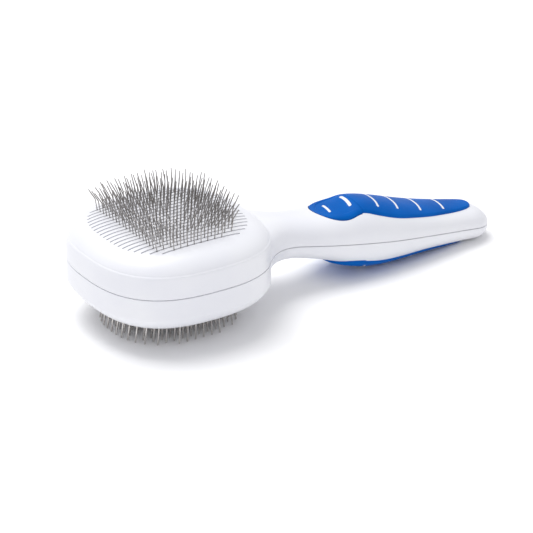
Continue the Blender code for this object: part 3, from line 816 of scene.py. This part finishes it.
@dataclass(frozen=True)
class Shells:
    """The two white moulded halves, with their slits, button windows, axle ribs and screw bosses."""

    head: Head
    handle: Handle
    pads: Pads
    gap: float = 0.3 * MM
    pivot_x: float = 122.0 * MM
    pivot_lift: float = 9.0 * MM
    rib_span: tuple[float, float] = (8.2 * MM, 10.4 * MM)
    screws: tuple[tuple[float, float], ...] = ((138.0 * MM, 11.2 * MM), (163.0 * MM, 8.3 * MM))

    def half_space(self, side: Side) -> bpy.types.Object:
        """Everything on one side of the bent parting surface, half a gap away from it."""
        x = np.concatenate([[-60 * MM], np.linspace(30 * MM, 210 * MM, 61)])
        z = self.handle.axis(x) + side.value * self.gap / 2.0
        far = self.head.plane + side.value * 80 * MM
        line = np.stack([np.concatenate([x, x[::-1]]) + self.head.x,
                         np.concatenate([z, np.full(len(x), far)])], -1)
        rings = np.stack([np.stack([line[:, 0], np.full(len(line), y), line[:, 1]], -1)
                          for y in (-80 * MM, 80 * MM)])
        faces, _ = ring_faces(2, len(line), False)
        count, columns = len(x), len(line)
        i = np.arange(count - 1)
        quads = np.stack([i, i + 1, columns - 2 - i, columns - 1 - i], -1)
        caps = np.concatenate([quads[:, [0, 1, 2]], quads[:, [0, 2, 3]]])
        return to_object("parting_tool", rings.reshape(-1, 3), np.concatenate([faces, caps, caps + columns]))

    def ribs(self, shell: bpy.types.Object, side: Side) -> None:
        """Join the two bored ribs that hold the lever's axle."""
        x = self.head.x + self.pivot_x
        centre = float(self.handle.axis(np.array([self.pivot_x]))[0])
        low, high = sorted((centre + side.value * 5.8 * MM, centre + side.value * 12.2 * MM))
        box = np.array([[-4.5, self.rib_span[0] / MM], [4.5, self.rib_span[0] / MM],
                        [4.5, self.rib_span[1] / MM], [-4.5, self.rib_span[1] / MM]]) * MM
        for hand in (-1.0, 1.0):
            rib = prism("rib_tool", box * (1.0, hand) + (x, 0.0), low, high)
            z = centre + side.value * self.pivot_lift
            bore = cylinder("bore_tool", 1.8 * MM, (x, hand * 7 * MM, z), (x, hand * 12 * MM, z))
            combine(shell, combine(rib, bore, "DIFFERENCE"), "UNION")

    def bosses(self, shell: bpy.types.Object, side: Side) -> None:
        """Join the screw bosses and cut their holes."""
        for along, depth in self.screws:
            x = self.head.x + along
            middle = float(self.handle.axis(np.array([along]))[0])
            height = float(self.handle.column(2 if side is Side.UPPER else 3, np.array([along]))[0])
            radius = 4.4 * MM if side is Side.LOWER else 3.0 * MM
            rise = side.value * (height - 1.4 * MM)
            boss = cylinder("boss_tool", radius, (x, 0, middle + side.value * self.gap), (x, 0, middle + rise))
            combine(shell, boss, "UNION")
            if side is Side.LOWER:
                holes = ((1.5, -1.0, depth / MM), (3.0, depth / MM - 1.9, height / MM + 2.0))
            else:
                holes = ((1.4, -1.0, 7.5),)
            for size, low, high in holes:
                hole = cylinder("hole_tool", size * MM, (x, 0, middle + side.value * low * MM),
                                (x, 0, middle + side.value * high * MM))
                combine(shell, hole, "DIFFERENCE")

    def build(self) -> None:
        """Make both halves and put them in place."""
        for side, word, slits in ((Side.UPPER, "upper", FINE_SLITS), (Side.LOWER, "lower", COARSE_SLITS)):
            shell = self.head.solid(f"{word}_white_shell", self.head.outer_profile())
            combine(shell, self.handle.solid("handle_tool", 0.0, self.handle.tail_end, True), "UNION")
            cavity = self.head.solid("cavity_tool", self.head.inner_profile())
            bore = self.handle.solid("bore_tool", -self.head.wall, self.handle.cavity_end, False)
            combine(cavity, bore, "UNION")
            combine(shell, cavity, "DIFFERENCE")
            combine(shell, self.half_space(side), "INTERSECT")
            face = self.head.plane
            low, high = sorted((face + side.value * 14.5 * MM, face + side.value * 24 * MM))
            combine(shell, prism("slit_tool", slits.outlines(self.head.x), low, high), "DIFFERENCE")
            ring = self.pads.outline(side, 0.4 * MM)
            ring = ring[ring[:, 0] < self.pads.split + 0.1 * MM] + (self.head.x, 0.0)
            axis = float(self.handle.axis(np.array([90 * MM]))[0])
            low, high = sorted((axis + side.value * 3 * MM, axis + side.value * 30 * MM))
            combine(shell, prism("window_tool", ring, low, high), "DIFFERENCE")
            self.ribs(shell, side)
            self.bosses(shell, side)
            place(dress(shell, WHITE_ABS, 30.0), "root", "white_shell", f"{word}_shell")


# ---- pins
@dataclass(frozen=True)
class PinRows:
    """Pin rows on their sliding frames: bent fine wires above, tapered pins with round tips below."""

    head: Head
    bar_low: float = 13.7 * MM
    bar_high: float = 15.3 * MM
    bar_half: float = 0.45 * MM
    ring_share: float = 0.735
    fine_radius: float = 0.28 * MM
    fine_step: float = 3.65 * MM
    fine_count: int = 6
    elbow: float = 26.6 * MM
    fine_tip: float = 33.4 * MM
    coarse_tip: float = 32.0 * MM
    coarse_step: float = 4.2 * MM
    seed: int = 7

    def tubes(self, name: str, line: np.ndarray, radius: np.ndarray, sides: int) -> bpy.types.Object:
        """Round wires: circles of each radius across each wire's line, closed at the ends.

        Args:
            name: The object's name.
            line: (wires, rows, 3) points from root to tip.
            radius: (rows,) radius at each row.
            sides: Points round each circle.

        Returns:
            One object with every wire of a row.
        """
        run = np.gradient(line, axis=1)
        run /= np.linalg.norm(run, axis=-1, keepdims=True)
        across = np.cross(np.broadcast_to((0.0, 1.0, 0.0), run.shape), run)
        across /= np.linalg.norm(across, axis=-1, keepdims=True)
        third = np.cross(run, across)
        turn = np.linspace(0.0, 2.0 * math.pi, sides, endpoint=False)[None, None, :, None]
        circle = np.cos(turn) * across[:, :, None] + np.sin(turn) * third[:, :, None]
        rings = line[:, :, None] + radius[None, :, None, None] * circle
        return ring_bodies(name, rings, line[:, [0, -1]])

    def bar(self, name: str, y: float, side: Side) -> bpy.types.Object:
        """The row's bar, a strip with rounded ends that spans its frame."""
        share = self.ring_share
        half_a, half_b = self.head.half_a * share, self.head.half_b * share
        reach = float(chord(half_a, half_b, self.head.power, np.array(y))) - 0.6 * MM
        outline, _ = capsule(reach, self.bar_half, 12)
        low, high = sorted(self.head.plane + side.value * lift for lift in (self.bar_low, self.bar_high))
        return prism(name, outline + (self.head.x, y), low, high)

    def fine_lines(self, y: float, reach: float, random: np.random.Generator) -> np.ndarray:
        """Middle lines of one row of bent wires.

        Args:
            y: Place of the row.
            reach: Half-length of its slit.
            random: Source of the small unevenness between wires.

        Returns:
            (wires, rows, 3) points. The foot stands almost upright. Above an elbow outside the face
            the wire leans out along X as a quadratic of its place and along Y in proportion to y.
        """
        root = np.arange(-self.fine_count, self.fine_count + 2) * self.fine_step
        root = root[(root > 4.6 * MM - reach) & (root < reach - 8.4 * MM)]
        jitter = random.normal(0.0, 1.0, (4, len(root)))
        place_mm = root / MM
        foot = 0.0085 * place_mm + 0.018 * jitter[0]
        lean = -0.04 + 0.0195 * place_mm - 0.0001 * place_mm ** 2 + 0.065 * jitter[1]
        back = 0.0175 * y / MM + 0.055 * jitter[2]
        tip = self.fine_tip - 1.5 * (root ** 2 + y ** 2) + 0.25 * MM * jitter[3]
        knots = np.array([0.0, 0.35, 0.7, 0.9, 1.0, 1.15, 1.5, 2.0])
        low, high = np.minimum(knots, 1.0)[None], np.maximum(knots - 1.0, 0.0)[None]
        rise = (self.elbow - self.bar_high) * low + (tip - self.elbow)[:, None] * high
        x = root[:, None] + foot[:, None] * (self.elbow - self.bar_high) * low
        x = x + (lean * (tip - self.elbow))[:, None] * high
        x = np.clip(x, -reach + 0.5 * MM, reach - 0.5 * MM)
        across = y + (back * (tip - self.elbow))[:, None] * high
        return np.stack([self.head.x + x, across, self.head.plane + self.bar_high - 0.3 * MM + rise], -1)

    def build(self) -> None:
        """Make every row, its bar and its pins, and put them on their frames."""
        random = np.random.default_rng(self.seed)
        for index, y in enumerate(FINE_SLITS.places()):
            node = f"fine_pin_row_{index + 1:02d}"
            lines = self.fine_lines(float(y), float(FINE_SLITS.reach(y)), random)
            radius = self.fine_radius * np.array([1.0, 1.0, 1.0, 1.0, 1.0, 1.0, 1.0, 0.85])
            wires = self.tubes(f"fine_wires_{index + 1:02d}", lines, radius, 6)
            place(dress(wires, DRAWN_WIRE, 60.0), "fine_pin_carrier", "fine_wire", node)
            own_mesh(wires)
            # The bar's dark acetal is painted shade seen through its slit.
            bar = self.bar(f"fine_bar_{index + 1:02d}", float(y), Side.UPPER)
            place(dress(bar, ACETAL_AND_SLIT_SHADE), "fine_pin_carrier", "carrier_plastic", node)
        for index, y in enumerate(COARSE_SLITS.places()):
            node = f"coarse_pin_row_{index + 1:02d}"
            field = float(chord(29.5 * MM, 30.5 * MM, 2.4, y))
            count = max(2, round(2 * field / self.coarse_step) + 1)
            root = np.linspace(-field, field, count)
            levels = np.array([0.0, 0.5, 0.93, 0.955, 0.97, 0.985, 0.995, 1.0])
            sizes = np.array([0.56, 0.52, 0.40, 0.41, 0.43, 0.40, 0.30, 0.14]) * MM
            depth = self.bar_high - 0.3 * MM + (self.coarse_tip - self.bar_high + 0.3 * MM) * levels
            lean = 1.0 + 0.1 * levels
            lines = np.stack([self.head.x + root[:, None] * lean[None],
                              np.full((count, len(levels)), float(y)),
                              np.broadcast_to(self.head.plane - depth, (count, len(levels)))], -1)
            pins = self.tubes(f"coarse_pins_{index + 1:02d}", lines, sizes, 8)
            place(dress(pins, POLISHED_PIN, 60.0), "coarse_pin_carrier", "coarse_wire", node)
            # The bar's dark acetal is painted shade seen through its slit.
            bar = self.bar(f"coarse_bar_{index + 1:02d}", float(y), Side.LOWER)
            place(dress(bar, ACETAL_AND_SLIT_SHADE), "coarse_pin_carrier", "carrier_plastic", node)


# ---- carried-over nodes and the set
def dress_nodes() -> None:
    """Give the frame's own inner pieces their materials."""
    for name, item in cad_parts.items():
        if item.hide_render:
            continue
        metal = any(word in name for word in ("axle", "spring", "screw"))
        material = (ZINC_STEEL if metal else ACETAL_AND_SLIT_SHADE).material()
        item.data.materials.clear()
        item.data.materials.append(material)
        LOG.info("%s keeps its shape in %s", name, material.name)


@dataclass(frozen=True)
class Studio:
    """Pale floor, soft studio light and the camera."""

    head: Head
    azimuth: float = -32.46
    elevation: float = 25.2
    distance: float = 2.135
    aim: tuple[float, float] = (0.0483, -0.0046)
    lens: float = 295.2

    def turn(self) -> Matrix:
        """The camera's rotation: its right, up and backward directions as columns."""
        azimuth, elevation = math.radians(self.azimuth), math.radians(self.elevation)
        right = Vector((math.cos(azimuth), math.sin(azimuth), 0.0))
        back = Vector((math.sin(azimuth) * math.cos(elevation), -math.cos(azimuth) * math.cos(elevation),
                       math.sin(elevation)))
        up = back.cross(right)
        return Matrix((right, up, back)).transposed()

    def camera(self) -> None:
        """Create the camera and make it the scene's own."""
        data = bpy.data.cameras.new("camera")
        data.lens = self.lens
        data.sensor_width = 36.0
        data.clip_end = 20.0
        turn = self.turn()
        right, up, back = turn.col[0], turn.col[1], turn.col[2]
        centre = Vector((self.head.x, 0.0, self.head.plane))
        item = bpy.data.objects.new("camera", data)
        place_at = centre + right * self.aim[0] + up * self.aim[1] + back * self.distance
        item.matrix_world = Matrix.Translation(place_at) @ turn.to_4x4()
        bpy.context.scene.collection.objects.link(item)
        bpy.context.scene.camera = item

    def light(self, name: str, place_at: tuple[float, float, float], size: float, power: float,
              colour: str) -> None:
        """Add one square soft light that faces the brush."""
        data = bpy.data.lights.new(name, "AREA")
        data.size = size
        data.energy = power
        data.color = linear(colour)[:3]
        item = bpy.data.objects.new(name, data)
        item.location = place_at
        item.rotation_euler = (-Vector(place_at)).to_track_quat("-Z", "Y").to_euler()
        bpy.context.scene.collection.objects.link(item)

    def build(self) -> None:
        """Make the floor, the world, the lights and the camera."""
        mesh = bpy.data.meshes.new("floor")
        reach = 6.0
        corners = [(-reach, -reach, 0), (reach, -reach, 0), (reach, reach, 0), (-reach, reach, 0)]
        mesh.from_pydata(corners, [], [(0, 1, 2, 3)])
        floor = bpy.data.objects.new("floor", mesh)
        bpy.context.scene.collection.objects.link(floor)
        paper = bpy.data.materials.new("studio_paper")
        paper.use_nodes = True
        shader = paper.node_tree.nodes["Principled BSDF"]
        shader.inputs["Base Color"].default_value = linear("#FFFFFF")
        shader.inputs["Roughness"].default_value = 0.9
        floor.data.materials.append(paper)
        world = bpy.data.worlds.new("studio")
        world.use_nodes = True
        sky = world.node_tree.nodes["Background"]
        sky.inputs["Color"].default_value = linear("#F8F8FC")
        sky.inputs["Strength"].default_value = 0.61
        bpy.context.scene.world = world
        bpy.context.scene.view_settings.view_transform = "Standard"
        self.light("overhead", (-0.2, 0.5, 1.6), 1.2, 22.0, "#FFFFFF")
        self.light("front_fill", (-0.9, -1.4, 0.8), 1.0, 3.2, "#FAFAFF")
        self.camera()


def main() -> None:
    """Build the brush piece by piece and set it in the studio."""
    logging.basicConfig(level=logging.INFO, format="%(name)s: %(message)s")
    head = Head()
    handle = Handle(head)
    pads = Pads(handle)
    Studio(head).build()
    Shells(head, handle, pads).build()
    pads.build()
    PinRows(head).build()
    dress_nodes()


if __name__ == "__main__":
    main()
